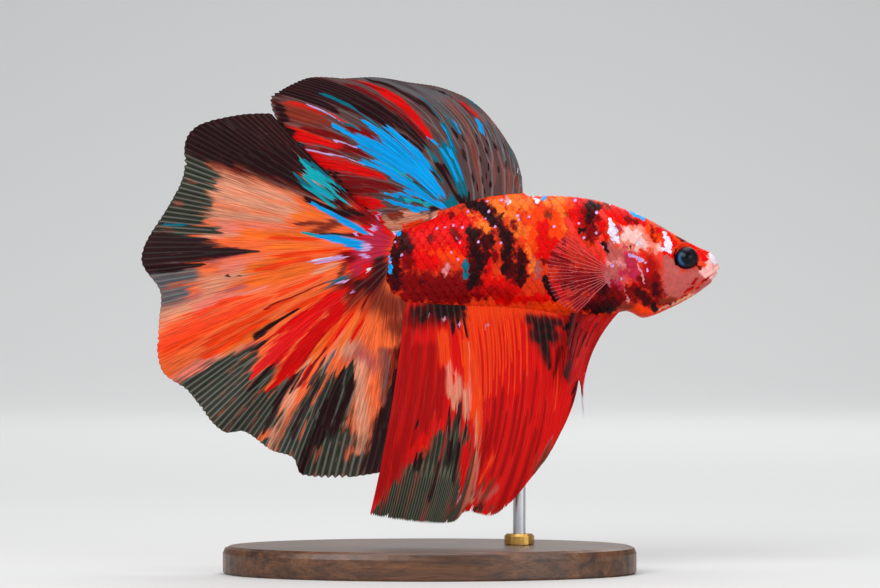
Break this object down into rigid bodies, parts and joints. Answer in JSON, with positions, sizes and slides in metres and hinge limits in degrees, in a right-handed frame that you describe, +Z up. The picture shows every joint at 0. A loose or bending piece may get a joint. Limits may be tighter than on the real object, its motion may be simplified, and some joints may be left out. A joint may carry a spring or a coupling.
{
  "type": "halfmoon betta fish model on a display stand",
  "caption": "Life-size model of a male halfmoon betta fish with its fan tail and long fins fully spread, held by a thin rod over an oval wooden base for display.",
  "frame": {"origin": "centre of the stand's underside, on the surface it stands on", "axes": "+X along the fish from tail to head, +Z up, so the fish's right side faces -Y"},
  "size_m": [0.0723, 0.03, 0.0624],
  "materials": {
    "skin": "moist smooth skin, pink, red and white",
    "scales": "glossy overlapping scales, orange, red, black and blue",
    "eye": "polished, blue-black",
    "fin_dark": "thin ribbed membrane, black, blue and red",
    "fin_red": "thin ribbed membrane, red and orange",
    "fin_orange": "thin ribbed membrane, orange, peach and smoky grey",
    "fin_clear": "nearly clear ribbed membrane, pink",
    "stand_wood": "dark stained and satin varnished",
    "stand_steel": "drawn and lightly polished",
    "stand_brass": "satin"
  },
  "bodies": {
    "root": {"head": "skin", "lower_jaw": "skin", "gill_cover_right": "skin", "gill_cover_left": "skin", "trunk": "scales", "tail_stalk": "scales", "eye_right": "eye", "eye_left": "eye", "dorsal_fin": "fin_dark", "anal_fin": "fin_red", "caudal_fin": "fin_orange", "pectoral_fin_right": "fin_clear", "pectoral_fin_left": "fin_clear", "pelvic_fin_right": "fin_red", "pelvic_fin_left": "fin_red", "stand_base": "stand_wood", "stand_rod": "stand_steel", "stand_collar": "stand_brass"}
  },
  "joints": []
}
